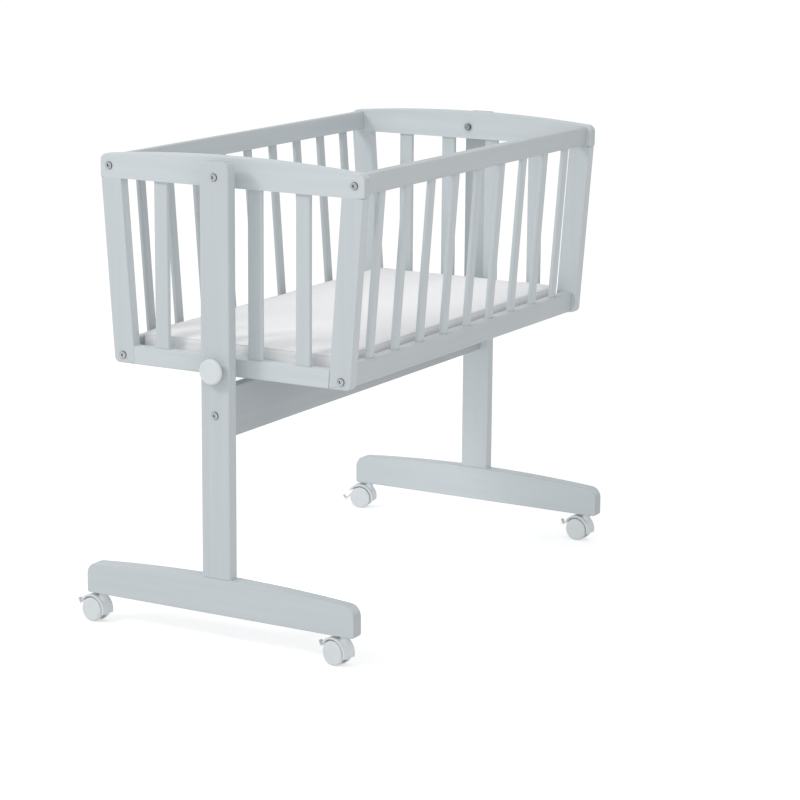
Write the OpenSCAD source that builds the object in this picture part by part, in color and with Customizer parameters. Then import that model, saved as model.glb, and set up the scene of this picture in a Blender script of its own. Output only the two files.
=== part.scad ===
// Swinging cradle on a castor stand, in millimetres.
// X runs along the cradle with the near end at -X, Y runs across it with the left side at +Y,
// and Z is up. The origin is on the floor, midway between the two posts.

/* [Stand] */
// Length of the stand over the outer faces of its posts
stand_l = 935; // [925:1:960]
// Height of the post tops above the floor
post_top_z = 811; // [806:1:840]
// Width of a post, across the cradle
post_w = 56; // [50:1:64]
// Thickness of a post
post_t = 22; // [22:1:24]
// Length of a foot, across the cradle
foot_l = 530; // [520:5:600]
// Thickness of a foot
foot_t = 26; // [25:1:32]
// Height of a foot in its middle
foot_mid_h = 63.5; // [60:0.5:75]
// Height of a foot at its ends, measured to the corner before rounding
foot_end_h = 52; // [45:0.5:58]
// Height of the stretcher board
stretcher_h = 86; // [80:1:88]
// Thickness of the stretcher board
stretcher_t = 20; // [20:1:24]
// Height of the stretcher's middle above the floor
stretcher_z = 394; // [388:1:394]

/* [Cradle] */
// Height of the swing axis above the floor
pivot_z = 786; // [782:1:790]
// Length of the bed inside the end panels
bed_l = 807; // [800:1:808]
// Thickness of the rails and stiles
panel_t = 20; // [20:1:22]
// Lean of the long sides and of the stiles, in degrees from upright
lean = 4.2; // [3.6:0.1:4.6]
// Height of the cradle's lowest edge above the floor
cradle_z = 451; // [450:1:456]
// Length of an end panel's top rail, across the cradle
end_rail_l = 512; // [508:1:520]
// Height of the top end rails' lower edge above the floor
end_rail_z = 764; // [762:1:766]
// Height of a top end rail in its middle
end_rail_mid_h = 51; // [50:1:56]
// Height of a top end rail at its ends, measured to the corner before rounding
end_rail_end_h = 39; // [38:1:45]
// Height of a bottom end rail
end_low_rail_h = 31; // [31:1:36]
// Width of a stile
stile_w = 41; // [39:1:44]
// Height of a long side's top rail, along its lean
side_rail_h = 34; // [32:1:38]
// Height of a long side's bottom rail, along its lean
side_low_rail_h = 38; // [37:1:42]

/* [Slats] */
// Width of a slat in an end panel
end_slat_w = 28; // [24:1:32]
// Width of a slat in a long side
side_slat_w = 20; // [16:1:28]
// Thickness of a slat
slat_t = 9; // [8:0.5:11]
// Slats in each end panel
end_slats = 4; // [3:1:4]
// Distance from slat to slat in an end panel
end_pitch = 92; // [85:1:94]
// Slats in each long side
side_slats = 9; // [7:1:9]
// Distance from slat to slat in a long side
side_pitch = 84; // [78:1:86]

/* [Bedding] */
// Length of the mattress
mattress_l = 798; // [780:1:799]
// Width of the mattress
mattress_w = 398; // [380:1:400]
// Thickness of the mattress at its crown
mattress_t = 43; // [30:1:45]
// Thickness of the bed board
board_t = 6; // [5:1:8]

/* [Castors] */
// Diameter of a castor wheel
wheel_d = 42; // [38:1:42]
// Distance from a castor's stem to its axle
trail = 16; // [15:1:18]
// Height of the foot's underside, which is the height of a whole castor
castor_h = 52; // [51:1:56]
// Distance of a castor's stem from the middle of its foot
castor_y = 241; // [225:1:245]
// How far a brake lever swings when it is pressed, in degrees
brake_swing = 20; // [10:1:20]

/* [Hidden] */
$fn = 64;
NEAR = -1;
FAR = 1;
LEFT = 1;
RIGHT = -1;
// Each castor: its name, its end, its side, how it has swivelled, and how far its brake is pressed.
CASTORS = [
    ["near_left", NEAR, LEFT, -5, 0],
    ["near_right", NEAR, RIGHT, -11, 0],
    ["far_left", FAR, LEFT, 10, brake_swing],
    ["far_right", FAR, RIGHT, -4, 0]
];
CASTOR_PARTS = ["housing", "stem_and_axle", "wheel_a", "wheel_b", "brake_lever"];

PAINT = [0.76, 0.79, 0.80];
STEEL = [0.72, 0.73, 0.75];
BEECH = [0.80, 0.66, 0.48];
PLASTIC = [0.86, 0.88, 0.89];
COVER = [0.95, 0.95, 0.96];

eps = 0.01;             // cuts run past a face by this much
press_gap = 0.02;       // radial gap of a part that is pressed into its bore
run_gap = 0.05;         // radial gap of a part that turns on its pin
end_gap = 0.3;          // gap between faces that slide past each other

// Planes along X, all at the near end; the far end mirrors them.
post_out = stand_l / 2;
post_in = post_out - post_t;
bed_half = bed_l / 2;
end_out = bed_half + panel_t;
end_mid = bed_half + panel_t / 2;
foot_mid = post_out - foot_t / 2;
post_mid = post_out - post_t / 2;

// Heights
foot_z = castor_h;
foot_top_z = foot_z + foot_mid_h;
end_low_rail_z = cradle_z + end_low_rail_h;
bolt_low_z = cradle_z + 14;                         // lower corner bolts
side_mid_z = 784.5;                                 // upper corner bolts
lock_z = cradle_z + 17;                             // locking screw, over the bottom end rail
cleat_h = 9;
board_z = cradle_z + cleat_h;
bed_z = board_z + board_t;

// Widths across the cradle. Long sides and stiles lean outward towards the top.
rail_overhang = 2;                                  // of a top end rail past its stiles
stile_top_y = end_rail_l / 2 - rail_overhang;
function stile_y(z) = stile_top_y - (end_rail_z - z) * tan(lean);
side_low_y = 213.8;                                 // middle of a long side at its lower bolts
function side_y(z) = side_low_y + (z - bolt_low_z) * tan(lean);

// Fasteners
bolt_r = 3;
bolt_hole_r = 3.4;
bolt_head_r = 6.5;
bolt_head_h = 2.2;
hex_share = 0.46;                                   // a hexagon socket's radius, as a share of its head's
pivot_r = 4;
pivot_head_r = 6.5;
nut_r = 5;
nut_l = 15;
nut_hole_r = 5.1;
nut_reach = 28;                                     // from a rail's end to its barrel nut
nut_pass = 8;                                       // how far a bolt runs on past its barrel nut
bore_spare = 6;                                     // depth of a bolt's bore past the bolt's tip
dowel_r = 3;
stretcher_dowel_r = 4;
tenon = 10;                                         // how far a slat goes into a rail
glue_gap = 0.2;                                     // round a slat in its mortise
slat_edge_r = 3.5;

// ---- outlines ----

function unit(v) = v / norm(v);

// Points of the arc that rounds the corner at b, between a and c, with radius r.
function corner_arc(a, b, c, r, steps = 7) =
    let (u = unit(a - b), v = unit(c - b), half = acos(u * v) / 2)
    let (mid = b + unit(u + v) * r / sin(half), from = b + u * r / tan(half) - mid)
    let (turn = (u[0] * v[1] - u[1] * v[0] < 0 ? 1 : -1) * (180 - 2 * half))
    [for (i = [0:steps]) let (t = turn * i / steps)
        mid + [from[0] * cos(t) - from[1] * sin(t), from[0] * sin(t) + from[1] * cos(t)]];

// An outline whose corners are rounded, each by its own radius.
function rounded(points, radii) =
    let (n = len(points))
    [for (i = [0:n - 1]) each radii[i] == 0 ? [points[i]]
        : corner_arc(points[(i + n - 1) % n], points[i], points[(i + 1) % n], radii[i])];

function mirrored(points) = [for (i = [len(points) - 1:-1:0]) [-points[i][0], points[i][1]]];

// Height of a low arch at y: it rises by rise over half its span, up to the height top.
function arch_z(y, half, rise, top) =
    let (r = (half * half + rise * rise) / (2 * rise))
    top - r + sqrt(r * r - y * y);

// An arched board: straight below, an arc above, and a flat of width seat on its crown.
module arched_outline(l, z, mid_h, end_h, low_r, top_r, seat) {
    half = l / 2;
    steps = 8;
    past_corner = 1.3 * top_r;
    first = half - past_corner;
    function arch(y) = arch_z(y, half, mid_h - end_h, z + mid_h);
    crown = [for (i = [0:steps]) let (y = first + (seat / 2 - first) * i / steps) [y, arch(y)]];
    low = corner_arc([0, z], [half, z], [half, z + end_h], low_r);
    top = corner_arc([half, z], [half, arch(half)], crown[0], top_r);
    right = concat(low, top, crown);
    polygon(concat(right, mirrored(right)));
}

module round_rect(w, h, r) {
    x = w / 2;
    y = h / 2;
    polygon(rounded([[-x, -y], [x, -y], [x, y], [-x, y]], [r, r, r, r]));
}

// ---- placing ----

// Extrudes an outline drawn in (Y, Z) along X, from x over a length of t.
module board(x, t) {
    translate([x, 0, 0]) rotate([90, 0, 90]) linear_extrude(t) children();
}

// The shape as drawn for the near end, or its mirror image for the far end.
module at_end(end) {
    if (end == FAR) mirror([1, 0, 0]) children();
    else children();
}

// The leaning frame of a long side: its origin is on the lower bolts' line, Z runs up the lean.
module at_side(side) {
    translate([0, side * side_low_y, bolt_low_z]) rotate([-side * lean, 0, 0]) children();
}

module along_x() {
    rotate([0, 90, 0]) children();
}

module along_y() {
    rotate([-90, 0, 0]) children();
}

// ---- fasteners ----

// A bolt along +Z with a low round head below Z = 0 and a hexagon socket in the head.
module bolt(shank_l, shank_r, head_r = bolt_head_r) {
    hex_r = head_r * hex_share;
    cylinder(r = shank_r, h = shank_l);
    difference() {
        rotate_extrude()
            polygon([[0, eps], [shank_r, eps], [shank_r, 0], [head_r, 0], [head_r, -bolt_head_h * 0.5],
                [head_r - 0.4, -bolt_head_h * 0.8], [head_r - 1.2, -bolt_head_h], [0, -bolt_head_h]]);
        translate([0, 0, -bolt_head_h - eps]) cylinder(r = hex_r, h = bolt_head_h * 0.75, $fn = 6);
    }
}

// A barrel nut along Z with its threaded cross bore along X, middle at the origin.
module barrel_nut(thread_r) {
    slot_w = 1.6;
    difference() {
        translate([0, 0, -nut_l / 2]) cylinder(r = nut_r, h = nut_l);
        translate([-nut_r - eps, 0, 0]) along_x() cylinder(r = thread_r, h = 2 * nut_r + 2 * eps);
        translate([-nut_r, -slot_w / 2, nut_l / 2 - slot_w]) cube([2 * nut_r, slot_w, 2 * slot_w]);
    }
}

// ---- stand ----

// The post stands on a flat on the foot's crown, so its end is cut square.
foot_seat_z = arch_z(post_w / 2, foot_l / 2, foot_mid_h - foot_end_h, foot_top_z);
foot_bolt_y = 14;
foot_bolt_sink = 8;                                 // depth of the bolt's head in the underside
foot_bolt_sink_r = 8;
foot_insert_r = 5;
foot_insert_l = 22;
stretcher_low_z = stretcher_z - stretcher_h / 2;
stretcher_dowel_dz = 26;
stretcher_dowel_post = 14;                          // how far the dowel reaches into the post
stretcher_dowel_board = 20;                         // and into the stretcher
stretcher_bolt_z = stretcher_z - 1;
insert_l = 20;
insert_r = 6;
socket_r = 6;
socket_l = 30;
socket_end = 0.5;                                   // thickness of the socket's closed end

module foot(end) {
    color(PAINT) at_end(end) difference() {
        board(-post_out, foot_t)
            arched_outline(foot_l, foot_z, foot_mid_h, foot_end_h, 4, 20, post_w);
        for (y = [-foot_bolt_y, foot_bolt_y]) translate([-post_mid, y, 0]) {
            translate([0, 0, foot_z - eps]) cylinder(r = bolt_hole_r, h = foot_mid_h + 1);
            translate([0, 0, foot_z - eps]) cylinder(r = foot_bolt_sink_r, h = foot_bolt_sink + eps);
        }
        for (y = [-castor_y, castor_y]) translate([-foot_mid, y, foot_z - eps])
            cylinder(r = socket_r + press_gap, h = socket_l + eps);
    }
}

module post(end) {
    low = foot_seat_z;
    half = post_w / 2;
    play = 0.1;
    corner_r = 10;
    color(PAINT) at_end(end) difference() {
        board(-post_out, post_t)
            polygon(rounded([[-half, low], [half, low], [half, post_top_z], [-half, post_top_z]],
                [0, 0, corner_r, corner_r]));
        translate([-post_out - eps, 0, pivot_z]) along_x() cylinder(r = pivot_r + play, h = post_t + 1);
        translate([-post_out - eps, 0, stretcher_bolt_z]) along_x() cylinder(r = bolt_hole_r, h = post_t + 1);
        for (dz = [-stretcher_dowel_dz, stretcher_dowel_dz])
            translate([-post_in - stretcher_dowel_post, 0, stretcher_z + dz]) along_x()
                cylinder(r = stretcher_dowel_r + press_gap, h = stretcher_dowel_post + 1);
        for (y = [-foot_bolt_y, foot_bolt_y]) translate([-post_mid, y, low - eps])
            cylinder(r = foot_insert_r + press_gap, h = foot_insert_l + eps);
        if (end == NEAR) {
            translate([-post_out - eps, 0, lock_z]) along_x() cylinder(r = pivot_r + end_gap, h = post_t);
            translate([-post_in - insert_l, 0, lock_z]) along_x()
                cylinder(r = insert_r + press_gap, h = insert_l + 1);
        }
    }
}

module stretcher() {
    bore_l = nut_reach + nut_pass + bore_spare;
    color(PAINT) difference() {
        translate([-post_in, -stretcher_t / 2, stretcher_low_z])
            cube([2 * post_in, stretcher_t, stretcher_h]);
        for (end = [NEAR, FAR]) at_end(end) {
            translate([-post_in - eps, 0, stretcher_bolt_z]) along_x() cylinder(r = bolt_hole_r, h = bore_l);
            translate([-post_in + nut_reach, -nut_l / 2, stretcher_bolt_z]) along_y()
                cylinder(r = nut_hole_r, h = stretcher_t);
            for (dz = [-stretcher_dowel_dz, stretcher_dowel_dz])
                translate([-post_in - eps, 0, stretcher_z + dz]) along_x()
                    cylinder(r = stretcher_dowel_r + press_gap, h = stretcher_dowel_board + eps);
        }
    }
}

module stand_bolts() {
    foot_bolt_z = foot_z + foot_bolt_sink;
    color(STEEL) for (end = [NEAR, FAR]) at_end(end) {
        translate([-post_out, 0, stretcher_bolt_z]) along_x() bolt(post_t + nut_reach + nut_pass, bolt_r);
        for (y = [-foot_bolt_y, foot_bolt_y]) translate([-post_mid, y, foot_bolt_z])
            bolt(foot_seat_z + foot_insert_l - foot_bolt_z, bolt_r);
    }
}

module stand_barrel_nuts() {
    color(STEEL) for (end = [NEAR, FAR]) at_end(end)
        translate([-post_in + nut_reach, 0, stretcher_bolt_z]) along_y() barrel_nut(bolt_r + press_gap);
}

// Threaded inserts in the lower ends of the posts.
module foot_inserts() {
    color(STEEL) for (end = [NEAR, FAR], y = [-foot_bolt_y, foot_bolt_y]) at_end(end)
        translate([-post_mid, y, foot_seat_z]) difference() {
            cylinder(r = foot_insert_r, h = foot_insert_l);
            translate([0, 0, -eps]) cylinder(r = bolt_r + press_gap, h = foot_insert_l + 2 * eps);
        }
}

module stretcher_dowels() {
    color(BEECH) for (end = [NEAR, FAR], dz = [-stretcher_dowel_dz, stretcher_dowel_dz]) at_end(end)
        translate([-post_in - stretcher_dowel_post, 0, stretcher_z + dz]) along_x()
            cylinder(r = stretcher_dowel_r, h = stretcher_dowel_post + stretcher_dowel_board);
}

module castor_sockets() {
    stem_hole_l = socket_l - socket_end;
    color(PLASTIC) for (c = CASTORS) translate([c[1] * foot_mid, c[2] * castor_y, foot_z]) difference() {
        cylinder(r = socket_r, h = socket_l);
        translate([0, 0, -eps]) cylinder(r = stem_r + run_gap, h = stem_hole_l);
    }
}

// ---- swing pivots ----

spacer_r = 11;
bush_r = 6;
pivot_nut_h = 5;
pivot_nut_edge = 1.5;
pivot_nut_socket = 1.2;                             // depth of its hexagon socket
pivot_bolt_in = 2.6;                                // how far the bolt runs past the end panel
pivot_shank_l = post_out - bed_half + pivot_bolt_in;

module pivot_bolts() {
    color(STEEL) for (end = [NEAR, FAR]) at_end(end)
        translate([-post_out, 0, pivot_z]) along_x() bolt(pivot_shank_l, pivot_r, pivot_head_r);
}

module pivot_nuts() {
    color(STEEL) for (end = [NEAR, FAR]) at_end(end)
        translate([-bed_half + end_gap, 0, pivot_z]) along_x() difference() {
            rotate_extrude() polygon([[0, 0], [pivot_head_r, 0],
                [pivot_head_r, pivot_nut_h - pivot_nut_edge],
                [pivot_head_r - pivot_nut_edge, pivot_nut_h], [0, pivot_nut_h]]);
            translate([0, 0, -eps]) cylinder(r = pivot_r + press_gap, h = pivot_bolt_in - end_gap + eps);
            translate([0, 0, pivot_nut_h - pivot_nut_socket])
                cylinder(r = pivot_head_r * hex_share, h = pivot_nut_socket + eps, $fn = 6);
        }
}

module pivot_spacers() {
    color(PLASTIC) for (end = [NEAR, FAR]) at_end(end)
        translate([-post_in, 0, pivot_z]) along_x() difference() {
            cylinder(r = spacer_r, h = post_in - end_out - end_gap);
            translate([0, 0, -eps]) cylinder(r = pivot_r + run_gap, h = post_in - end_out + 1);
        }
}

module pivot_bushes() {
    color(PLASTIC) for (end = [NEAR, FAR]) at_end(end)
        translate([-end_out, 0, pivot_z]) along_x() difference() {
            cylinder(r = bush_r, h = panel_t);
            translate([0, 0, -eps]) cylinder(r = pivot_r + run_gap, h = panel_t + 1);
        }
}

// ---- end panels ----

crown_flat = 30;                                    // of a top end rail
end_dowel_in = 16;
end_dowel_dy = 11;
low_dowel_l = 15;
low_dowels_z = [cradle_z + 7, cradle_z + 24];

// The middle of each slat across an end panel.
function end_slat_y() = [for (i = [0:end_slats - 1]) (i - (end_slats - 1) / 2) * end_pitch];

// Corner bolts of one end, as [y, z].
corner_bolts_yz = [for (s = [LEFT, RIGHT], z = [bolt_low_z, side_mid_z]) [s * side_y(z), z]];

module end_slat_section(gap) {
    round_rect(slat_t + 2 * gap, end_slat_w + 2 * gap, slat_edge_r);
}

module end_mortises(z) {
    for (y = end_slat_y()) translate([-end_mid, y, z])
        linear_extrude(tenon) end_slat_section(glue_gap);
}

module top_dowel_bores() {
    for (s = [LEFT, RIGHT], dy = [-end_dowel_dy, end_dowel_dy])
        translate([-end_mid, s * (stile_top_y - stile_w / 2) + dy, end_rail_z - end_dowel_in])
            cylinder(r = dowel_r + press_gap, h = 2 * end_dowel_in);
}

module low_dowels(extra) {
    for (s = [LEFT, RIGHT], z = low_dowels_z)
        translate([-end_mid, s * (stile_y(z) - stile_w) - low_dowel_l, z]) along_y()
            cylinder(r = dowel_r + extra, h = 2 * low_dowel_l);
}

module corner_bores() {
    for (p = corner_bolts_yz) translate([-end_out - eps, p[0], p[1]]) along_x()
        cylinder(r = bolt_hole_r, h = panel_t + 1);
}

module end_top_rail(end) {
    color(PAINT) at_end(end) difference() {
        board(-end_out, panel_t)
            arched_outline(end_rail_l, end_rail_z, end_rail_mid_h, end_rail_end_h, 4, 12, crown_flat);
        end_mortises(end_rail_z - eps);
        top_dowel_bores();
        corner_bores();
        translate([-end_out - eps, 0, pivot_z]) along_x() cylinder(r = bush_r + press_gap, h = panel_t + 1);
    }
}

module end_bottom_rail(end) {
    function inner(z) = stile_y(z) - stile_w;
    color(PAINT) at_end(end) difference() {
        board(-end_out, panel_t) polygon([
            [-inner(cradle_z), cradle_z], [inner(cradle_z), cradle_z],
            [inner(end_low_rail_z), end_low_rail_z], [-inner(end_low_rail_z), end_low_rail_z]]);
        end_mortises(end_low_rail_z - tenon);
        low_dowels(press_gap);
    }
}

module end_stile(end, side) {
    outline = rounded([
        [stile_y(cradle_z) - stile_w, cradle_z], [stile_y(cradle_z), cradle_z],
        [stile_top_y, end_rail_z], [stile_top_y - stile_w, end_rail_z]], [2, 10, 0, 0]);
    color(PAINT) at_end(end) difference() {
        board(-end_out, panel_t) polygon(side == LEFT ? outline : mirrored(outline));
        top_dowel_bores();
        low_dowels(press_gap);
        corner_bores();
    }
}

module end_slats(end) {
    slat_l = end_rail_z - end_low_rail_z + 2 * tenon - eps;
    color(PAINT) at_end(end) for (y = end_slat_y())
        translate([-end_mid, y, end_low_rail_z - tenon]) linear_extrude(slat_l) end_slat_section(0);
}

module end_panel_dowels() {
    color(BEECH) for (end = [NEAR, FAR]) at_end(end) {
        for (s = [LEFT, RIGHT], dy = [-end_dowel_dy, end_dowel_dy])
            translate([-end_mid, s * (stile_top_y - stile_w / 2) + dy, end_rail_z - end_dowel_in])
                cylinder(r = dowel_r, h = 2 * end_dowel_in);
        low_dowels(0);
    }
}

module corner_bolts() {
    color(STEEL) for (end = [NEAR, FAR], p = corner_bolts_yz) at_end(end)
        translate([-end_out, p[0], p[1]]) along_x() bolt(panel_t + nut_reach + nut_pass, bolt_r);
}

// ---- long sides, drawn in the leaning frame ----

rail_edge_r = 4;
side_rail_up = (side_mid_z - bolt_low_z) / cos(lean);            // middle of the top rail
side_rail_low = side_rail_up - side_rail_h / 2;
side_low_gap = 2;                                               // from the cradle's lowest edge
side_low_rail_low = (cradle_z + side_low_gap - bolt_low_z) / cos(lean);
side_low_rail_top = side_low_rail_low + side_low_rail_h;

function side_slat_x() = [for (i = [0:side_slats - 1]) (i - (side_slats - 1) / 2) * side_pitch];

module side_slat_section(gap) {
    round_rect(side_slat_w + 2 * gap, slat_t + 2 * gap, slat_edge_r);
}

// Bores at both ends of a long rail, whose underside is at low: one for a corner bolt at height
// up and one from below for its barrel nut.
module side_bolt_bores(up, low) {
    for (end = [NEAR, FAR]) at_end(end) {
        translate([-bed_half - eps, 0, up]) along_x()
            cylinder(r = bolt_hole_r, h = nut_reach + nut_pass + bore_spare);
        translate([-bed_half + nut_reach, 0, low - eps])
            cylinder(r = nut_hole_r, h = up + nut_l / 2 - low + eps);
    }
}

module side_mortises(up) {
    for (x = side_slat_x()) translate([x, 0, up]) linear_extrude(tenon) side_slat_section(glue_gap);
}

module side_top_rail(side) {
    color(PAINT) at_side(side) difference() {
        translate([0, 0, side_rail_up]) board(-bed_half, bed_l)
            round_rect(panel_t, side_rail_h, rail_edge_r);
        side_bolt_bores(side_rail_up, side_rail_low);
        side_mortises(side_rail_low - eps);
    }
}

module side_bottom_rail(side) {
    middle = (side_low_rail_low + side_low_rail_top) / 2;
    color(PAINT) at_side(side) difference() {
        translate([0, 0, middle]) board(-bed_half, bed_l)
            round_rect(panel_t, side_low_rail_h, rail_edge_r);
        side_bolt_bores(0, side_low_rail_low);
        side_mortises(side_low_rail_top - tenon + eps);
    }
}

module side_slats(side) {
    slat_l = side_rail_low - side_low_rail_top + 2 * tenon - 2 * eps;
    color(PAINT) at_side(side) for (x = side_slat_x())
        translate([x, 0, side_low_rail_top - tenon + eps]) linear_extrude(slat_l) side_slat_section(0);
}

module corner_barrel_nuts() {
    color(STEEL) for (end = [NEAR, FAR], side = [LEFT, RIGHT], up = [0, side_rail_up]) at_end(end)
        at_side(side) translate([-bed_half + nut_reach, 0, up]) rotate([180, 0, 0])
            barrel_nut(bolt_r + press_gap);
}

// ---- bed ----

cleat_w = 14;
bed_gap = 2;                                        // round the board and the cleats

module bed_cleats() {
    function face(z) = side_y(z) - panel_t / 2 / cos(lean);
    inner = face(board_z) - cleat_w;
    outline = [[inner, cradle_z], [face(cradle_z), cradle_z], [face(board_z), board_z], [inner, board_z]];
    color(PAINT) for (side = [LEFT, RIGHT])
        board(-bed_half + bed_gap, bed_l - 2 * bed_gap)
            polygon(side == LEFT ? outline : mirrored(outline));
}

module bed_board() {
    l = bed_l - 2 * bed_gap;
    w = 2 * side_low_y - panel_t - 2 * bed_gap;
    holes = 7;
    hole_dx = 110;
    hole_dy = 120;
    hole_r = 10;
    color(PAINT) difference() {
        translate([-l / 2, -w / 2, board_z]) cube([l, w, board_t]);
        for (i = [0:holes - 1], j = [-1:1])
            translate([(i - (holes - 1) / 2) * hole_dx, j * hole_dy, board_z - 1])
                cylinder(r = hole_r, h = board_t + 2);
    }
}

// The mattress is a stack of rings. A ring is a rounded rectangle with its sides pulled in a
// little between the corners; rings above the edge shrink towards the crown.
mattress_corner_r = 14;
mattress_pull = 1.5;
mattress_crown = 4;
corner_steps = 5;
long_steps = 7;
short_steps = 4;
// From the bottom up: how far a ring stands in from the widest outline, and its height.
mattress_edge = [[5, 0], [1.5, 2.5], [0, 7], [0.8, 14], [0, 21], [0.8, 25.3], [3, 27.4], [8, 28]];
mattress_top_scales = [0.9, 0.72, 0.5, 0.25];

function mattress_ring(inset, z, scale) =
    let (a = mattress_l / 2 - inset, b = mattress_w / 2 - inset, r = mattress_corner_r - inset / 2)
    [for (side = [0:3])
        let (lengthways = side % 2 == 0, half = lengthways ? a : b, out = lengthways ? b : a)
        let (n = lengthways ? long_steps : short_steps)
        each concat(
            [for (i = [1:corner_steps - 1]) let (t = 180 + 90 * i / corner_steps)
                ring_point(side, [-(half - r) + r * cos(t), -(out - r) + r * sin(t)], z, scale)],
            [for (i = [0:n]) let (u = -1 + 2 * i / n)
                ring_point(side, [u * (half - r), -out + mattress_pull * (1 - u * u)], z, scale)])];

// A point drawn for the right-hand side of a ring, turned to one of its four sides.
function ring_point(side, p, z, scale) =
    let (t = side * 90)
    [scale * (p[0] * cos(t) - p[1] * sin(t)), scale * (p[0] * sin(t) + p[1] * cos(t)), z];

module mattress() {
    edge_top = mattress_edge[len(mattress_edge) - 1];
    crown_z = mattress_t - mattress_crown;
    rings = concat(
        [for (e = mattress_edge) mattress_ring(e[0], bed_z + e[1] * crown_z / edge_top[1], 1)],
        [for (s = mattress_top_scales)
            mattress_ring(edge_top[0], bed_z + crown_z + mattress_crown * (1 - s * s), s)]);
    n = len(rings[0]);
    layers = len(rings);
    points = concat([for (r = rings) each r], [[0, 0, bed_z], [0, 0, bed_z + mattress_t]]);
    bottom = n * layers;
    top = bottom + 1;
    last = n * (layers - 1);
    faces = concat(
        [for (k = [0:layers - 2], j = [0:n - 1]) [k * n + j, (k + 1) * n + j, (k + 1) * n + (j + 1) % n]],
        [for (k = [0:layers - 2], j = [0:n - 1]) [k * n + j, (k + 1) * n + (j + 1) % n, k * n + (j + 1) % n]],
        [for (j = [0:n - 1]) [bottom, j, (j + 1) % n]],
        [for (j = [0:n - 1]) [top, last + (j + 1) % n, last + j]]);
    color(COVER) polyhedron(points, faces);
}

// ---- locking screw, on the near post ----

knob_r = 21.5;
knob_back_r = 14;                                   // the knob narrows from its rim to its back
knob_rim_t = 5.5;
knob_t = 13;
knob_stand_off = 3;                                 // from the post to the knob's back
knob_edge_r = 4;
stud_tip_r = 2.5;
stud_in_knob = 9;
pad_r = 8;
pad_t = 5;
pad_wall = 2.2;
pad_face = end_out + end_gap;
tip_gap = 0.2;                                      // between the stud and the pad

module lock_insert() {
    color(STEEL) translate([-post_in - insert_l, 0, lock_z]) along_x() difference() {
        cylinder(r = insert_r, h = insert_l);
        translate([0, 0, -eps]) cylinder(r = pivot_r + run_gap, h = insert_l + 1);
    }
}

module lock_knob() {
    boss_r = 10;
    boss_l = knob_stand_off - end_gap;
    back_edge_r = 1.2;
    rim = corner_arc([0, 0], [knob_r, 0], [knob_r, knob_rim_t], knob_edge_r);
    back = corner_arc([knob_r, 0], [knob_r, knob_rim_t], [knob_back_r, knob_t], back_edge_r);
    color(PLASTIC) translate([-post_out - knob_stand_off - knob_t, 0, lock_z]) along_x() difference() {
        rotate_extrude() polygon(concat([[0, 0]], rim, back,
            [[knob_back_r, knob_t], [boss_r, knob_t], [boss_r, knob_t + boss_l], [0, knob_t + boss_l]]));
        translate([0, 0, knob_t - stud_in_knob]) cylinder(r = pivot_r + press_gap, h = knob_t + boss_l);
    }
}

module lock_stud() {
    head = post_out + knob_stand_off + stud_in_knob;
    shoulder = pad_face + pad_t + tip_gap;
    color(STEEL) translate([-head, 0, lock_z]) along_x() {
        cylinder(r = pivot_r, h = head - shoulder);
        cylinder(r = stud_tip_r, h = head - pad_face - pad_wall - tip_gap);
    }
}

module lock_pad() {
    color(PLASTIC) translate([-pad_face - pad_t, 0, lock_z]) along_x() difference() {
        cylinder(r = pad_r, h = pad_t);
        translate([0, 0, -eps]) cylinder(r = stud_tip_r + run_gap, h = pad_t - pad_wall);
    }
}

// ---- castors, drawn with the stem on the Z axis, the axle along X and the trail towards +Y ----

stem_r = 4;
stem_in = 20;                                       // how far the stem goes into the housing
axle_r = 2.5;
axle_half = 10.8;
axle_z = wheel_d / 2;
wheel_gap = 1.5;                                    // between a wheel's tread and the housing
side_gap = 0.6;                                     // between a wheel's rim and the web
wheel_in = 5.6;                                     // inner face of the tread
wheel_out = 13.8;                                   // outer face of the tread
hub_in = 4.3;                                       // inner face of the hub
cheek_x = 4;                                        // half the width of the web between the wheels
slot_x = 1.9;                                       // half the width of the lever's slot in the web
hood_r = 27;
hood_t = 3.5;
hood_x = 13.2;                                      // half the width of the hood
barrel_r = 7.5;
housing_top = castor_h - 1;
hood_from = 57;                                     // degrees from upright towards the tab
web_from = 50;                                      // the same for the web under the hood
hood_to = -102;                                     // and towards the stem

module at_castor(c) {
    translate([c[1] * foot_mid, c[2] * castor_y, 0]) rotate([0, 0, c[3]]) children();
}

// Moves a shape drawn round the origin to the axle, with +X along the axle.
module at_axle() {
    translate([0, trail, axle_z]) children();
}

// A full-width disc round the axle, |x| up to half.
module disc(r, half) {
    translate([-half, 0, 0]) along_x() cylinder(r = r, h = 2 * half);
}

// A wedge round the axle between two angles from upright, positive towards the tab.
module wedge(from, to, half) {
    reach = 60;
    steps = 8;
    arc = [for (i = [0:steps]) let (t = from + (to - from) * i / steps) [reach * sin(t), reach * cos(t)]];
    board(-half, 2 * half) polygon(concat([[0, 0]], arc));
}

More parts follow.
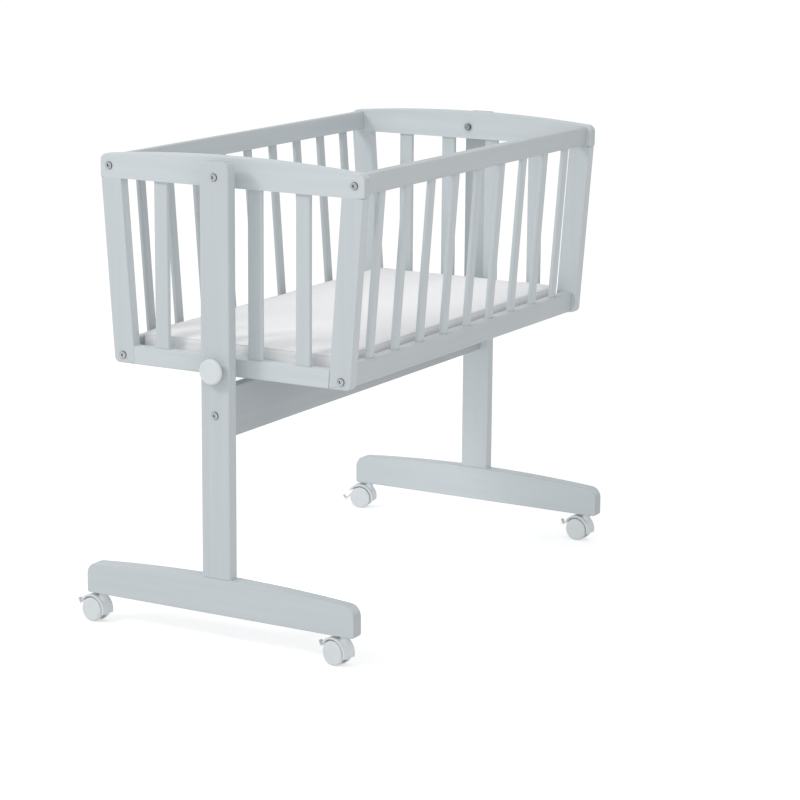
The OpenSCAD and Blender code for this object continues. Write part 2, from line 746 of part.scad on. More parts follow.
module castor_housing(c) {
    web_r = hood_r - hood_t + 0.5;
    boss_r = 8;
    hub_space_r = 6.8;
    slot_from = 20;
    slot_to = 140;
    floor_gap = 13;
    room_w = 20;
    color(PLASTIC) at_castor(c) difference() {
        union() {
            at_axle() intersection() {
                difference() {
                    disc(hood_r, hood_x);
                    disc(hood_r - hood_t, hood_x + 1);
                }
                wedge(hood_from, hood_to, hood_x + 1);
            }
            at_axle() intersection() {
                disc(web_r, cheek_x);
                wedge(web_from, hood_to, cheek_x + 1);
            }
            at_axle() disc(boss_r, cheek_x);
            translate([0, 0, floor_gap]) cylinder(r = barrel_r, h = housing_top - floor_gap);
        }
        // room for the wheels
        for (s = [-1, 1]) at_axle() translate([s * (wheel_in - side_gap + room_w / 2), 0, 0])
            disc(wheel_d / 2 + wheel_gap, room_w / 2);
        // slot for the brake lever
        at_axle() disc(hub_space_r, slot_x);
        at_axle() intersection() {
            disc(hood_r - hood_t, slot_x);
            wedge(slot_from, slot_to, slot_x + 1);
        }
        at_axle() disc(axle_r + press_gap, cheek_x + 1);
        translate([0, 0, castor_h - stem_in]) cylinder(r = stem_r + press_gap, h = stem_in + 1);
    }
}

module castor_stem_and_axle(c) {
    collar_r = 7;
    color(STEEL) at_castor(c) {
        translate([0, 0, castor_h - stem_in]) cylinder(r = stem_r, h = stem_in + socket_l - 1);
        translate([0, 0, housing_top]) cylinder(r = collar_r, h = castor_h - housing_top - end_gap);
        at_axle() disc(axle_r, axle_half);
    }
}

// Wheel a is on the -X side and wheel b on the +X side. The outline is [radius, distance along X].
module castor_wheel(c, s) {
    r = wheel_d / 2;
    rim_t = 4;
    plate_t = 3;
    hub_r = 6;
    crown = 0.8;
    crown_r = 0.75 * r;
    out_edge = corner_arc([r, wheel_in], [r, wheel_out], [0, wheel_out], 2.5);
    in_edge = corner_arc([r - rim_t, wheel_in], [r, wheel_in], [r, wheel_out], 1.2);
    color(PLASTIC) at_castor(c) at_axle() rotate([0, s * 90, 0]) difference() {
        rotate_extrude() polygon(concat(
            [[0, wheel_out - plate_t], [0, hub_in], [hub_r, hub_in], [hub_r, wheel_out - plate_t],
                [r - rim_t, wheel_out - plate_t], [r - rim_t, wheel_in]],
            in_edge, out_edge, [[crown_r, wheel_out + crown / 2], [0, wheel_out + crown]]));
        translate([0, 0, hub_in - 1]) cylinder(r = axle_r + run_gap, h = axle_half + end_gap - hub_in + 1);
    }
}

// The lever swings about the axle: a ring on the pin, an arm in the slot, and between the wheels
// a tongue that comes out in front of them and turns up as a tab for the toe.
module castor_brake_lever(c) {
    ring_r = 6;
    arm_x = 1.5;
    arm_w = 6;
    ring_play = 0.1;
    tongue_x = 3.5;                                 // half the width of the tongue and the tab
    tongue_t = 2.6;
    tab_l = 10.5;
    tab_lean = 25;                                  // from upright
    root = [20, 9.6];                               // of the tongue, from the axle
    toe = [34, 3];                                  // where the tongue turns up
    out = unit(toe - root);
    lift = [sin(tab_lean), cos(tab_lean)];
    tip = toe + lift * tab_l;
    tongue = [root, toe, tip, tip - out * tongue_t, toe + (lift - out) * tongue_t, root + lift * tongue_t];
    color(PLASTIC) at_castor(c) at_axle() rotate([-c[4], 0, 0]) difference() {
        union() {
            disc(ring_r, arm_x);
            rotate([-atan2(root[0], root[1]), 0, 0]) translate([-arm_x, -arm_w / 2, 0])
                cube([2 * arm_x, arm_w, norm(root) + 1]);
            board(-tongue_x, 2 * tongue_x) polygon(rounded(tongue, [0, 1.2, 0.8, 0.8, 0.6, 0]));
        }
        disc(axle_r + ring_play, arm_x + 1);
    }
}

// ---- the parts ----

foot(NEAR);  // near_foot
foot(FAR);  // far_foot
post(NEAR);  // near_post
post(FAR);  // far_post
stretcher();
stand_bolts();
stand_barrel_nuts();
foot_inserts();
stretcher_dowels();
castor_sockets();
pivot_bolts();
pivot_nuts();
pivot_spacers();
pivot_bushes();
lock_insert();
end_top_rail(NEAR);  // near_end_top_rail
end_bottom_rail(NEAR);  // near_end_bottom_rail
end_stile(NEAR, LEFT);  // near_end_left_stile
end_stile(NEAR, RIGHT);  // near_end_right_stile
end_slats(NEAR);  // near_end_slats
end_top_rail(FAR);  // far_end_top_rail
end_bottom_rail(FAR);  // far_end_bottom_rail
end_stile(FAR, LEFT);  // far_end_left_stile
end_stile(FAR, RIGHT);  // far_end_right_stile
end_slats(FAR);  // far_end_slats
side_top_rail(LEFT);  // left_side_top_rail
side_bottom_rail(LEFT);  // left_side_bottom_rail
side_slats(LEFT);  // left_side_slats
side_top_rail(RIGHT);  // right_side_top_rail
side_bottom_rail(RIGHT);  // right_side_bottom_rail
side_slats(RIGHT);  // right_side_slats
corner_bolts();
corner_barrel_nuts();
end_panel_dowels();
bed_board();
bed_cleats();
mattress();
lock_knob();
lock_stud();
lock_pad();
for (c = CASTORS) {
    name = str("castor_", c[0], "_");
    castor_housing(c);
    castor_stem_and_axle(c);
    castor_wheel(c, -1);
    castor_wheel(c, 1);
    castor_brake_lever(c);
}
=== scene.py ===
import math

import bpy
import numpy as np
from mathutils import Matrix, Vector
from mathutils.bvhtree import BVHTree
from mathutils.kdtree import KDTree


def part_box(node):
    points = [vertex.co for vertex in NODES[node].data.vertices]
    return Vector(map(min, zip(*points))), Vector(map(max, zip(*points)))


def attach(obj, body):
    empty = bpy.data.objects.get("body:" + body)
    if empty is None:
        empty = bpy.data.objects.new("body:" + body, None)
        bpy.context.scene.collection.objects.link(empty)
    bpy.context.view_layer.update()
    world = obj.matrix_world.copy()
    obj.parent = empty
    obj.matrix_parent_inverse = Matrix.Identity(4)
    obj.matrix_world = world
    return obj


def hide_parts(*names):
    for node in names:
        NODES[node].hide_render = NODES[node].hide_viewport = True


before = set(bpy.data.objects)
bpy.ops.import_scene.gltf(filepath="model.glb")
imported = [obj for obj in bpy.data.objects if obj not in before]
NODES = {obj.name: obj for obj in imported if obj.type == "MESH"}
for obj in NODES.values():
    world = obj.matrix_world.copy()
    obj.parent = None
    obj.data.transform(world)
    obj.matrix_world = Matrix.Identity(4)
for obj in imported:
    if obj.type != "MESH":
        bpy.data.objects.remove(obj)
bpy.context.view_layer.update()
scene = bpy.context.scene
scene.view_settings.view_transform = "Standard"

ENDS = ("near", "far")
SIDES = ("left", "right")
CASTORS = [f"castor_{end}_{side}" for end in ENDS for side in SIDES]
X, Y, Z = range(3)


# ---- camera ----

FOCAL_PX = 2640.871         # focal length, in pixels of the 800 px wide photograph
PHOTO_PX = 800
SENSOR = 36.0
SEES_TO = 200
CAMERA_AT = Vector((-4.0007, -2.3420, 1.3440))
YAW = math.radians(60.564)      # from +Y towards +X
PITCH = math.radians(-12.303)
ROLL = math.radians(0.473)


def make_camera():
    data = bpy.data.cameras.new("camera")
    data.sensor_width = SENSOR
    data.lens = FOCAL_PX / PHOTO_PX * SENSOR
    data.clip_end = SEES_TO
    level_out = math.cos(PITCH)
    forward = Vector((level_out * math.sin(YAW), level_out * math.cos(YAW), math.sin(PITCH)))
    right = Vector((math.cos(YAW), -math.sin(YAW), 0))
    up = right.cross(forward)
    x_axis = math.cos(ROLL) * right + math.sin(ROLL) * up
    y_axis = math.cos(ROLL) * up - math.sin(ROLL) * right
    camera = bpy.data.objects.new("camera", data)
    scene.collection.objects.link(camera)
    axes = Matrix((x_axis, y_axis, -forward)).transposed()
    camera.matrix_world = Matrix.Translation(CAMERA_AT) @ axes.to_4x4()
    scene.camera = camera


# ---- light, floor and background ----

SKY = 0.66                  # what the world lights the object with
BACKDROP = 1.0              # and what the camera sees of it: white
AIM = Vector((0, 0, 0.45))
# Each lamp: where it is, where it points, its width and height, its power, its spread in degrees.
# The last two fill in where the cradle shades the far end of the stand and its own mattress.
LAMPS = {
    "key": (Vector((-2.7, 1.9, 2.8)), AIM, (0.9, 0.9), 35.0, 180),
    "fill": (Vector((-2.1, -2.1, 1.2)), AIM, (1.6, 1.6), 8.0, 180),
    "under": (Vector((-0.38, 0, 0.20)), Vector((0.45, 0, 0.20)), (0.26, 0.16), 0.42, 110),
    "inside": (Vector((0, 0, 0.81)), Vector((0, 0, 0.50)), (0.80, 0.34), 0.21, 80)}
FLOOR_HALF = 60.0
FLOOR_TONE = 0.80           # the floor's grey for the light that it throws back at the object
FLOOR_SHOWN = 0.86          # its grey for the camera, which also sees the glow
FLOOR_GLOW = 0.46


def grey(value):
    return (value, value, value, 1)


def backdrop_mix(nodes, links, lighting, shown):
    """The first shader for what lights the object, the second for camera, gloss and glass."""
    path = nodes.new("ShaderNodeLightPath")
    is_shown = path.outputs["Is Camera Ray"]
    for ray in ("Is Glossy Ray", "Is Transmission Ray"):
        either = nodes.new("ShaderNodeMath")
        either.operation = "MAXIMUM"
        links.new(is_shown, either.inputs[0])
        links.new(path.outputs[ray], either.inputs[1])
        is_shown = either.outputs[0]
    mix = nodes.new("ShaderNodeMixShader")
    links.new(is_shown, mix.inputs["Fac"])
    links.new(lighting, mix.inputs[1])
    links.new(shown, mix.inputs[2])
    return mix.outputs[0]


def make_world():
    world = bpy.data.worlds.new("studio")
    scene.world = world
    world.use_nodes = True
    nodes, links = world.node_tree.nodes, world.node_tree.links
    nodes.clear()
    shaders = []
    for strength in (SKY, BACKDROP):
        shader = nodes.new("ShaderNodeBackground")
        shader.inputs["Color"].default_value = grey(1)
        shader.inputs["Strength"].default_value = strength
        shaders.append(shader.outputs[0])
    out = nodes.new("ShaderNodeOutputWorld")
    links.new(backdrop_mix(nodes, links, *shaders), out.inputs["Surface"])


def make_lamps():
    """Soft lamps that aren't themselves seen."""
    for name, (place, aim, size, power, spread) in LAMPS.items():
        data = bpy.data.lights.new(name, "AREA")
        data.shape = "RECTANGLE"
        data.size, data.size_y = size
        data.energy = power
        data.spread = math.radians(spread)
        lamp = bpy.data.objects.new(name, data)
        lamp.location = place
        lamp.rotation_euler = (place - aim).to_track_quat("Z", "Y").to_euler()
        lamp.visible_camera = False
        lamp.visible_glossy = False
        scene.collection.objects.link(lamp)


def make_floor():
    mesh = bpy.data.meshes.new("floor")
    signs = ((-1, -1), (1, -1), (1, 1), (-1, 1))
    corners = [(x * FLOOR_HALF, y * FLOOR_HALF, 0) for x, y in signs]
    mesh.from_pydata(corners, [], [(0, 1, 2, 3)])
    floor = bpy.data.objects.new("floor", mesh)
    scene.collection.objects.link(floor)
    material = bpy.data.materials.new("floor")
    material.use_nodes = True
    nodes, links = material.node_tree.nodes, material.node_tree.links
    nodes.clear()
    plain = nodes.new("ShaderNodeBsdfDiffuse")
    plain.inputs["Color"].default_value = grey(FLOOR_TONE)
    shown = nodes.new("ShaderNodeBsdfDiffuse")
    shown.inputs["Color"].default_value = grey(FLOOR_SHOWN)
    glow = nodes.new("ShaderNodeEmission")
    glow.inputs["Color"].default_value = grey(1)
    glow.inputs["Strength"].default_value = FLOOR_GLOW
    glowing = nodes.new("ShaderNodeAddShader")
    links.new(shown.outputs[0], glowing.inputs[0])
    links.new(glow.outputs[0], glowing.inputs[1])
    out = nodes.new("ShaderNodeOutputMaterial")
    surface = backdrop_mix(nodes, links, plain.outputs[0], glowing.outputs[0])
    links.new(surface, out.inputs["Surface"])
    mesh.materials.append(material)


# ---- materials ----

class Surface:
    """A Principled material and short calls for its nodes, in the object's own metres."""

    def __init__(self, name, metallic=0.0):
        self.material = bpy.data.materials.new(name)
        self.material.use_nodes = True
        self.nodes = self.material.node_tree.nodes
        self.links = self.material.node_tree.links
        self.shader = self.nodes["Principled BSDF"]
        self.shader.inputs["Metallic"].default_value = metallic
        self.place = self.nodes.new("ShaderNodeTexCoord").outputs["Object"]

    def noise(self, scale=1.0, detail=2.0, stretch=(1, 1, 1)):
        mapping = self.nodes.new("ShaderNodeMapping")
        mapping.inputs["Scale"].default_value = stretch
        self.links.new(self.place, mapping.inputs["Vector"])
        node = self.nodes.new("ShaderNodeTexNoise")
        node.inputs["Scale"].default_value = scale
        node.inputs["Detail"].default_value = detail
        node.inputs["Roughness"].default_value = 0.5
        self.links.new(mapping.outputs[0], node.inputs["Vector"])
        return node.outputs[0]

    def ramp(self, value, low=0.0, high=1.0, from_min=0.3, from_max=0.7):
        """Maps a grey value from_min..from_max to low..high."""
        node = self.nodes.new("ShaderNodeMapRange")
        node.inputs["From Min"].default_value = from_min
        node.inputs["From Max"].default_value = from_max
        node.inputs["To Min"].default_value = low
        node.inputs["To Max"].default_value = high
        self.links.new(value, node.inputs["Value"])
        return node.outputs[0]

    def blend(self, factor, first, second):
        """first where the factor is 0 and second where it is 1, each a colour or a socket."""
        node = self.nodes.new("ShaderNodeMix")
        node.data_type = "RGBA"
        self.links.new(factor, node.inputs["Factor"])
        for socket, value in ((node.inputs[6], first), (node.inputs[7], second)):
            if isinstance(value, tuple):
                socket.default_value = (*value, 1)
            else:
                self.links.new(value, socket)
        return node.outputs[2]

    def bump(self, height, distance, strength, below=None):
        node = self.nodes.new("ShaderNodeBump")
        node.inputs["Distance"].default_value = distance
        node.inputs["Strength"].default_value = strength
        self.links.new(height, node.inputs["Height"])
        if below is not None:
            self.links.new(below, node.inputs["Normal"])
        return node.outputs[0]

    def facing(self, axis):
        """1 on the faces square to an axis, down to 0 on those along it."""
        split = self.nodes.new("ShaderNodeSeparateXYZ")
        self.links.new(self.nodes.new("ShaderNodeTexCoord").outputs["Normal"], split.inputs[0])
        size = self.nodes.new("ShaderNodeMath")
        size.operation = "ABSOLUTE"
        self.links.new(split.outputs[axis.upper()], size.inputs[0])
        return size.outputs[0]

    def to(self, name, value):
        self.links.new(value, self.shader.inputs[name])


def grain_stretch(along, length, width):
    """Noise scales for grain lines of that length and width, in metres, along one axis."""
    return tuple(1 / length if axis == along else 1 / width for axis in "xyz")


PAINT_LIGHT = Vector((0.640, 0.690, 0.712))
PAINT_DARK = Vector((0.606, 0.657, 0.681))
END_GRAIN_AND_SHADE = 0.84            # how much of the light the lacquer on end grain throws back: partly duller end grain, partly painted shade on the board ends
# Each lacquer: the axis that the grain runs along, and how light it is against the plain one.
# That lightness is painted light and shade: lighter on the end rails, darker on the posts, long
# rails, left slats and stretcher.
PAINTS = {
    "paint_x": ("x", 1.00),
    "paint_z": ("z", 1.00),
    "paint_end_rail_painted_light": ("y", 1.07),
    "paint_post_painted_shade": ("z", 0.97),
    "paint_foot": ("y", 1.00),
    "paint_long_rail_painted_shade": ("x", 0.90),
    "paint_left_slats_painted_shade": ("z", 0.84),
    "paint_stretcher_painted_shade": ("x", 0.80)}


def make_paint(name):
    """Satin lacquer on beech: the grain shows faintly through it, the end grain is duller and
    carries painted shade, and each board's lightness is painted light or shade.
    """
    along, painted_lightness = PAINTS[name]
    paint = Surface(name)
    light, dark = tuple(PAINT_LIGHT * painted_lightness), tuple(PAINT_DARK * painted_lightness)
    end_grain_and_shade = tuple(PAINT_DARK * painted_lightness * END_GRAIN_AND_SHADE)
    lines = paint.noise(detail=3, stretch=grain_stretch(along, length=0.060, width=0.0016))
    figure = paint.noise(stretch=grain_stretch(along, length=0.350, width=0.012))
    orange_peel = paint.noise(900, detail=1)
    cloud = paint.noise(9)
    tone = paint.blend(paint.ramp(figure), dark, light)
    board = paint.blend(paint.ramp(lines, high=0.35), tone, light)
    # The faces across the grain are darker: duller end grain and painted shade.
    ends = paint.ramp(paint.facing(along), from_min=0.85, from_max=0.98)
    paint.to("Base Color", paint.blend(ends, board, end_grain_and_shade))
    paint.to("Roughness", paint.ramp(cloud, 0.38, 0.48))
    under = paint.bump(lines, distance=0.00006, strength=0.7)
    paint.to("Normal", paint.bump(orange_peel, distance=0.00002, strength=0.6, below=under))
    return paint.material


def make_steel():
    """Zinc-plated steel, with painted shade on the rims and in the sockets of the bolt heads."""
    steel = Surface("zinc_plated_steel", metallic=1.0)
    marks = steel.noise(1200, detail=3)
    cloud = steel.noise(180)
    tone = steel.blend(steel.ramp(cloud), (0.36, 0.37, 0.38), (0.50, 0.51, 0.52))
    outside_painted_shade = steel.ramp(steel.facing("x"), from_min=0.55, from_max=0.95)
    # Painted shade: the rims and socket walls, which don't face along X, are near black.
    steel.to("Base Color", steel.blend(outside_painted_shade, (0.07, 0.075, 0.08), tone))
    steel.to("Roughness", steel.ramp(marks, 0.22, 0.38))
    steel.to("Normal", steel.bump(marks, distance=0.00001, strength=0.5))
    return steel.material


def make_beech():
    """Bare beech, for the dowels."""
    beech = Surface("dowel_beech")
    rings = beech.noise(detail=4, stretch=grain_stretch("z", length=0.300, width=0.009))
    pores = beech.noise(stretch=grain_stretch("z", length=0.012, width=0.0006))
    tone = beech.blend(beech.ramp(rings), (0.55, 0.38, 0.22), (0.64, 0.47, 0.29))
    beech.to("Base Color", tone)
    beech.to("Roughness", beech.ramp(pores, 0.50, 0.68))
    beech.to("Normal", beech.bump(pores, distance=0.00005, strength=0.7))
    return beech.material


def make_plastic():
    """Satin pale grey plastic, for the castors, the knob and the small fittings."""
    plastic = Surface("pale_plastic")
    cloud = plastic.noise(60)
    grain = plastic.noise(2600)
    tone = plastic.blend(plastic.ramp(cloud), (0.758, 0.798, 0.817), (0.790, 0.828, 0.847))
    plastic.to("Base Color", tone)
    plastic.to("Roughness", plastic.ramp(grain, 0.38, 0.48))
    plastic.to("Normal", plastic.bump(grain, distance=0.00002, strength=0.5))
    return plastic.material


THREADS = 260.0             # weave bands per metre


def make_cover():
    """White cotton: a plain weave of two crossed threads, with a little fuzz."""
    cotton = Surface("cotton_cover")
    weave = cotton.nodes.new("ShaderNodeMath")
    weave.operation = "MULTIPLY"
    for direction, socket in zip("XY", weave.inputs):
        thread = cotton.nodes.new("ShaderNodeTexWave")
        thread.bands_direction = direction
        thread.inputs["Scale"].default_value = THREADS
        thread.inputs["Distortion"].default_value = 0.6
        thread.inputs["Detail"].default_value = 1.0
        cotton.links.new(cotton.place, thread.inputs["Vector"])
        cotton.links.new(thread.outputs["Fac"], socket)
    slub = cotton.noise(stretch=(14, 420, 420))
    cloud = cotton.noise(7)
    tone = cotton.blend(cotton.ramp(cloud), (0.925, 0.925, 0.93), (0.945, 0.945, 0.95))
    slubbed = cotton.blend(cotton.ramp(slub, high=0.3), tone, (0.90, 0.90, 0.91))
    cotton.to("Base Color", slubbed)
    cotton.to("Roughness", cotton.ramp(slub, 0.80, 0.92))
    under = cotton.bump(slub, distance=0.00010, strength=0.5)
    woven = cotton.bump(weave.outputs[0], distance=0.00012, strength=0.5, below=under)
    cotton.to("Normal", woven)
    cotton.shader.inputs["Sheen Weight"].default_value = 0.15
    cotton.shader.inputs["Sheen Roughness"].default_value = 0.5
    return cotton.material


# ---- the CAD parts: soft edges and finishes ----

WELDED = 0.00001            # points this near each other become one
FLAT = math.radians(0.5)    # faces that meet at less than this become one
CORNER = math.radians(35)   # an edge sharper than this is rounded where none is chosen
SHARP = math.radians(36)    # and an edge still sharper than this is shaded as one
FACE_WEIGHT = 70            # how far large faces lead in the shading
BEVEL_STEPS = 3
SAME = 0.00002              # points this near a line or a plane are on it

# How far each board's edges are rounded.
FOOT_EDGE = 0.0022
POST_EDGE = 0.0030
TOP_RAIL_EDGE = 0.0030
BOTTOM_RAIL_EDGE = 0.0020
STILE_EDGE = 0.0020
STRETCHER_EDGE = 0.0022
CLEAT_EDGE = 0.0010

STEEL_NODES = ["stand_bolts", "stand_barrel_nuts", "foot_inserts", "pivot_bolts", "pivot_nuts",
               "lock_insert", "lock_stud", "corner_bolts", "corner_barrel_nuts",
               *(f"{castor}_stem_and_axle" for castor in CASTORS)]
BEECH_NODES = ["stretcher_dowels", "end_panel_dowels"]
PLASTIC_NODES = ["castor_sockets", "pivot_spacers", "pivot_bushes", "lock_pad", "lock_knob",
                 *(f"{castor}_{part}" for castor in CASTORS
                   for part in ("housing", "brake_lever", "wheel_a", "wheel_b"))]


def coat(node, material):
    mesh = NODES[node].data
    mesh.materials.clear()
    mesh.materials.append(material)
    mesh.polygons.foreach_set("material_index", [0] * len(mesh.polygons))


def soften(node, width=0.0, rounded=None):
    """Rounds a part's edges by modifiers. rounded(a, b) says whether the edge from a to b is."""
    ob = NODES[node]
    mesh = ob.data
    mesh.shade_smooth()
    weld = ob.modifiers.new("weld", "WELD")
    weld.merge_threshold = WELDED
    flat = ob.modifiers.new("dissolve", "DECIMATE")
    flat.decimate_type = "DISSOLVE"
    flat.angle_limit = FLAT
    if width:
        bevel = ob.modifiers.new("edges", "BEVEL")
        bevel.width = width
        bevel.segments = BEVEL_STEPS
        bevel.use_clamp_overlap = False
        bevel.limit_method = "ANGLE"
        bevel.angle_limit = CORNER
        if rounded:
            weights = mesh.attributes.new("bevel_weight_edge", "FLOAT", "EDGE")
            ends = [[mesh.vertices[i].co for i in edge.vertices] for edge in mesh.edges]
            weights.data.foreach_set("value", [float(rounded(a, b)) for a, b in ends])
            bevel.limit_method = "WEIGHT"
    split = ob.modifiers.new("split", "EDGE_SPLIT")
    split.split_angle = SHARP
    split.use_edge_sharp = False
    normals = ob.modifiers.new("normals", "WEIGHTED_NORMAL")
    normals.keep_sharp = True
    normals.weight = FACE_WEIGHT


def level(axis, value):
    """Which edges lie in the plane across an axis at that value."""
    return lambda a, b: abs(a[axis] - value) < SAME and abs(b[axis] - value) < SAME


def sloping(a, b):
    return abs(a.z - b.z) > SAME


def outline_of(node, axis, sharp=None):
    """Which edges of a board are rounded: its convex outline's, on its two faces across axis.

    Bores and mortises stay sharp, and so do the edges for which sharp is true, where parts meet.
    """
    low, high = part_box(node)
    faces = [level(axis, value) for value in (low[axis], high[axis])]
    across = [k for k in (X, Y, Z) if k != axis]
    points = np.array([vert.co for vert in NODES[node].data.vertices])[:, across]

    def rounded(a, b):
        if not any(face(a, b) for face in faces) or (sharp and sharp(a, b)):
            return False
        start, end = (np.array([point[k] for k in across]) for point in (a, b))
        along = (end - start) / np.linalg.norm(end - start)
        beside = (points - start) @ np.array([-along[1], along[0]])
        return beside.min() > -SAME or beside.max() < SAME

    return rounded


def dress_wood():
    # Each board's lacquer carries painted light or painted shade through its lightness in PAINTS.
    paint = {name: make_paint(name) for name in PAINTS}
    for end in ENDS:
        post_foot = level(Z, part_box(f"{end}_post")[0].z)
        under_rail = level(Z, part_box(f"{end}_end_top_rail")[0].z)
        boards = [(f"{end}_foot", "paint_foot", FOOT_EDGE, None),
                  (f"{end}_post", "paint_post_painted_shade", POST_EDGE, post_foot),
                  (f"{end}_end_top_rail", "paint_end_rail_painted_light", TOP_RAIL_EDGE, under_rail),
                  (f"{end}_end_bottom_rail", "paint_end_rail_painted_light", BOTTOM_RAIL_EDGE, sloping)]
        for side in SIDES:
            stile = f"{end}_end_{side}_stile"
            boards.append((stile, "paint_z", STILE_EDGE, level(Z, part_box(stile)[1].z)))
        for node, finish, width, sharp in boards:
            coat(node, paint[finish])
            soften(node, width, outline_of(node, X, sharp))
    coat("stretcher", paint["paint_stretcher_painted_shade"])
    soften("stretcher", STRETCHER_EDGE, outline_of("stretcher", Y, sloping))
    coat("bed_cleats", paint["paint_x"])
    soften("bed_cleats", CLEAT_EDGE)
    for node, finish in (("near_end_slats", "paint_z"), ("far_end_slats", "paint_z"),
                         ("left_side_slats", "paint_left_slats_painted_shade"), ("right_side_slats", "paint_z"),
                         ("left_side_top_rail", "paint_long_rail_painted_shade"),
                         ("left_side_bottom_rail", "paint_long_rail_painted_shade"),
                         ("right_side_top_rail", "paint_long_rail_painted_shade"),
                         ("right_side_bottom_rail", "paint_long_rail_painted_shade"),
                         ("bed_board", "paint_x")):
        coat(node, paint[finish])
        soften(node)


def dress_hardware():
    finishes = ((STEEL_NODES, make_steel()), (BEECH_NODES, make_beech()),
                (PLASTIC_NODES, make_plastic()))
    for nodes, material in finishes:
        for node in nodes:
            coat(node, material)
            soften(node)


# ---- mattress ----

START_SMALLER = 0.0015      # the cover starts this much inside its CAD form, and swells
VOXEL = 0.0055
TOP_NORMAL = 0.96           # how far up the cover's top faces at least
EVEN_TIMES = 30             # smoothing steps on the top, which take small waves out
CLOTH = {
    "quality": 6,
    "mass": 0.25,
    "tension_stiffness": 20,
    "compression_stiffness": 20,
    "shear_stiffness": 10,
    "bending_stiffness": 1.0,
    "use_pressure": True,
    "uniform_pressure_force": 3.0,
    "shrink_min": -0.003}       # negative shrinking: the cloth has this much to spare
SWELL = 0.0032              # how far a point of the cover may move
SIM_FRAMES = 20
SIDE_SHARE = 0.85           # how much of the cover's height its sides take up, below the crown
SEAM_HEIGHTS = (0.12, 0.90)     # of the two seams, in shares of the sides' height
SEAM_RADIUS = 0.0009
SEAM_DEPTH = 0.0006         # how far a seam pulls the cover in
SEAM_REACH = 0.0050         # and how far from it the pull fades out
SEAM_STEPS = 420
SEAM_EVEN_TIMES = 3
SEAM_TURN = 3               # how fast the rays that find the skin move on past a short end
TUBE_SIDES = 8


def faced(mesh, material):
    mesh.materials.clear()
    mesh.materials.append(material)
    mesh.shade_smooth()


def new_object(name, mesh, material):
    ob = bpy.data.objects.new(name, mesh)
    scene.collection.objects.link(ob)
    faced(mesh, material)
    return ob


def evaluated(ob):
    """The object's mesh with its modifiers applied, as a new mesh."""
    depsgraph = bpy.context.evaluated_depsgraph_get()
    return bpy.data.meshes.new_from_object(ob.evaluated_get(depsgraph))


def apply_modifiers(ob):
    ob.data = evaluated(ob)
    ob.modifiers.clear()


def swollen(ob, held):
    """The cover's mesh, puffed up by a cloth simulation. The points of held stay in place."""
    group = ob.vertex_groups.new(name="held")
    group.add(held, 1.0, "REPLACE")
    cloth = ob.modifiers.new("cloth", "CLOTH")
    for name, value in CLOTH.items():
        setattr(cloth.settings, name, value)
    cloth.settings.vertex_group_mass = group.name
    cloth.settings.effector_weights.gravity = 0
    cloth.point_cache.frame_start = 1
    cloth.point_cache.frame_end = SIM_FRAMES
    for frame_now in range(1, SIM_FRAMES + 1):
        scene.frame_set(frame_now)
    moved = evaluated(ob)
    ob.modifiers.remove(cloth)
    scene.frame_set(1)
    return moved


def even_top(cover):
    """Smooths the cover's top, and leaves its edges and sides as they are."""
    cover.vertex_groups.clear()
    top = cover.vertex_groups.new(name="top")
    upward = [vert.index for vert in cover.data.vertices if vert.normal.z > TOP_NORMAL]
    top.add(upward, 1.0, "REPLACE")
    even = cover.modifiers.new("even", "SMOOTH")
    even.vertex_group = top.name
    even.iterations = EVEN_TIMES
    apply_modifiers(cover)
    cover.vertex_groups.clear()


def capped(vector, most):
    """The vector, shortened smoothly so that it never passes most."""
    length = vector.length
    return vector * (most * math.tanh(length / most) / length) if length > 0 else vector


def smoothed(points, times):
    """A closed line of points, each moved towards its neighbours that many times."""
    n = len(points)
    for _ in range(times):
        points = [(points[i - 1] + 2 * points[i] + points[(i + 1) % n]) / 4 for i in range(n)]
    return points


def seam_path(skin, low, high, z):
    """A closed line of points round the cover, where level rays from outside meet its skin."""
    middle = (low + high) / 2
    half = (high - low) / 2
    points = []
    for i in range(SEAM_STEPS):
        turn = 2 * math.pi * i / SEAM_STEPS
        along = math.tanh(SEAM_TURN * math.cos(turn)) / math.tanh(SEAM_TURN)
        inner = Vector((middle.x + (half.x - half.y) * along, middle.y, z))
        outward = Vector((math.cos(turn), math.sin(turn), 0))
        points.append(skin.ray_cast(inner + outward, -outward)[0])
    return smoothed(points, SEAM_EVEN_TIMES)


def pull_in(mesh, seams):
    """Draws the cover in along its seams."""
    near = KDTree(sum(len(seam) for seam in seams))
    for i, point in enumerate(point for seam in seams for point in seam):
        near.insert(point, i)
    near.balance()
    normals = [vert.normal.copy() for vert in mesh.vertices]
    for vert, normal in zip(mesh.vertices, normals):
        distance = near.find(vert.co)[2]
        if distance < 3 * SEAM_REACH:
            vert.co -= normal * SEAM_DEPTH * math.exp(-(distance / SEAM_REACH) ** 2)


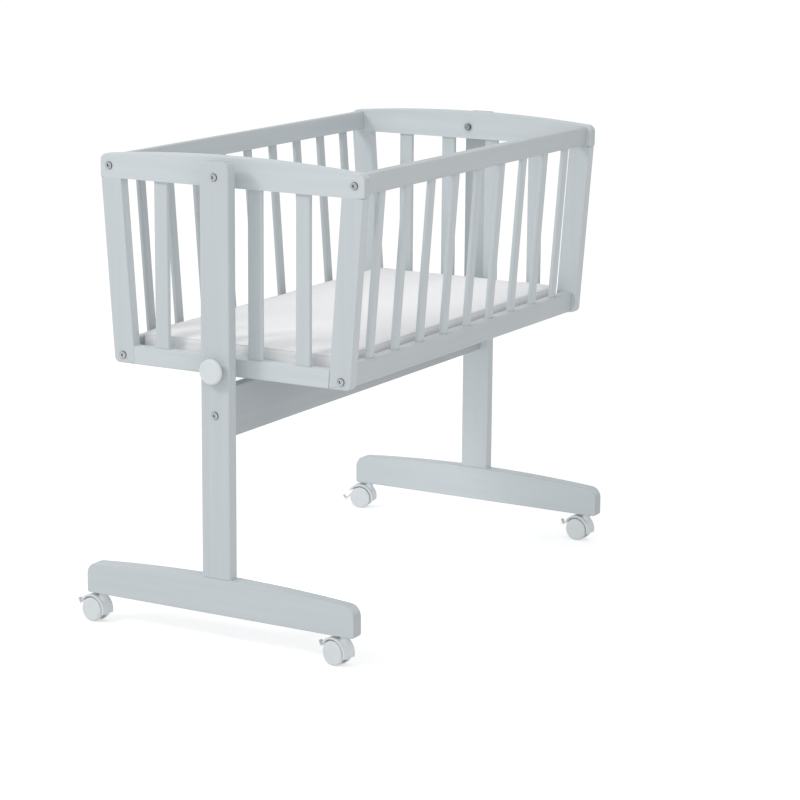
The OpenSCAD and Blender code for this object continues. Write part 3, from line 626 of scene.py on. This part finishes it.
def closed_tube(name, lines, radius):
    """A mesh of tubes along closed lines of points that run round the Z axis."""
    verts, faces = [], []
    for line in lines:
        first, n = len(verts), len(line)
        for i, point in enumerate(line):
            along = (line[(i + 1) % n] - line[i - 1]).normalized()
            out = along.cross(Vector((0, 0, 1))).normalized()
            up = out.cross(along)
            here, there = first + i * TUBE_SIDES, first + (i + 1) % n * TUBE_SIDES
            for k in range(TUBE_SIDES):
                turn = 2 * math.pi * k / TUBE_SIDES
                verts.append(point + radius * (math.cos(turn) * out + math.sin(turn) * up))
                beside = (k + 1) % TUBE_SIDES
                faces.append((here + k, here + beside, there + beside, there + k))
    mesh = bpy.data.meshes.new(name)
    mesh.from_pydata(verts, [], faces)
    return mesh


def make_mattress():
    """The mattress's cover in the place of its CAD form: remeshed, swollen, then seamed."""
    cotton = make_cover()
    low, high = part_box("mattress")
    middle = Vector(((low.x + high.x) / 2, (low.y + high.y) / 2, low.z))
    size = high - low
    scale = Vector((1 - 2 * START_SMALLER / size.x,
                    1 - 2 * START_SMALLER / size.y,
                    1 - START_SMALLER / size.z))
    start = NODES["mattress"].data.copy()
    for vert in start.vertices:
        vert.co = middle + (vert.co - middle) * scale
    cover = new_object("mattress_cover", start, cotton)
    remesh = cover.modifiers.new("remesh", "REMESH")
    remesh.mode = "VOXEL"
    remesh.voxel_size = VOXEL
    apply_modifiers(cover)
    even_top(cover)
    rest = [vert.co.copy() for vert in cover.data.vertices]
    held = [i for i, co in enumerate(rest) if co.z < low.z + VOXEL]
    moved = swollen(cover, held)
    for vert, old, new in zip(cover.data.vertices, rest, moved.vertices):
        vert.co = old + capped(new.co - old, SWELL)
    even_top(cover)
    finer = cover.modifiers.new("finer", "SUBSURF")
    finer.levels = finer.render_levels = 1
    apply_modifiers(cover)
    mesh = cover.data
    skin = BVHTree.FromPolygons([vert.co for vert in mesh.vertices],
                                [face.vertices for face in mesh.polygons])
    seams = [seam_path(skin, low, high, low.z + share * SIDE_SHARE * size.z)
             for share in SEAM_HEIGHTS]
    pull_in(mesh, seams)
    faced(mesh, cotton)
    piping = new_object("mattress_piping",
                        closed_tube("mattress_piping", seams, SEAM_RADIUS), cotton)
    for piece in (cover, piping):
        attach(piece, "cradle")
    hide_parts("mattress")


make_camera()
make_world()
make_lamps()
make_floor()
dress_wood()
dress_hardware()
make_mattress()
